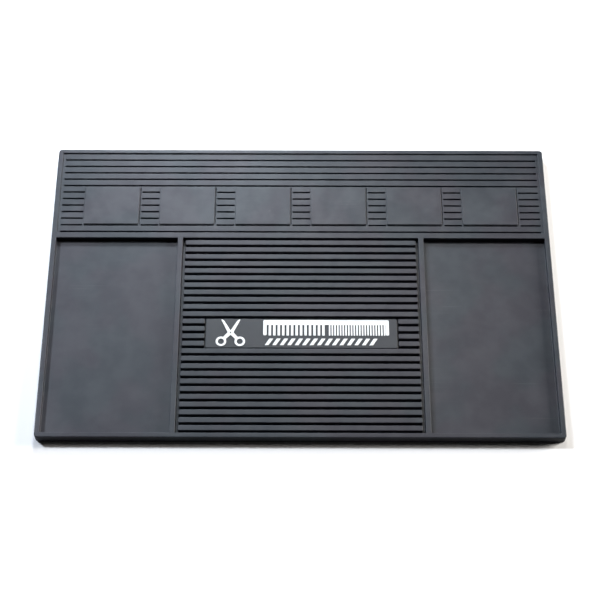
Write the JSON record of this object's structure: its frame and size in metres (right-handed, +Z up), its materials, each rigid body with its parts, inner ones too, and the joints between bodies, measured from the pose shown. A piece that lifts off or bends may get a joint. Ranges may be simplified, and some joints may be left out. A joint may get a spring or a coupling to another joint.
{
  "type": "barber station mat",
  "caption": "Flat black rubber bench mat for barber tools, with a rim, magnetic pads in a slotted band, side trays, and a ribbed centre with a badge plate.",
  "frame": {"origin": "centre of the underside, on the bench", "axes": "+X to the mat's right, along its width; +Y to the back edge, where the pads are; +Z up"},
  "size_m": [0.45, 0.29, 0.01],
  "materials": {
    "mat_rubber": "matt black moulded rubber with a soft sheen and light dust",
    "magnet_ferrite": "dark grey sintered ferrite",
    "cap_rubber": "matt black rubber plug, slightly paler than the mat",
    "badge_rubber": "smooth satin dark grey rubber",
    "white_inlay": "opaque white soft plastic, satin"
  },
  "bodies": {
    "root": {"mat_body": "mat_rubber", "magnet_1": "magnet_ferrite", "magnet_2": "magnet_ferrite", "magnet_3": "magnet_ferrite", "magnet_4": "magnet_ferrite", "magnet_5": "magnet_ferrite", "magnet_6": "magnet_ferrite", "magnet_cap_1": "cap_rubber", "magnet_cap_2": "cap_rubber", "magnet_cap_3": "cap_rubber", "magnet_cap_4": "cap_rubber", "magnet_cap_5": "cap_rubber", "magnet_cap_6": "cap_rubber", "badge_plate": "badge_rubber", "scissors_mark": "white_inlay", "comb_mark": "white_inlay", "stripe_mark": "white_inlay"}
  },
  "joints": []
}
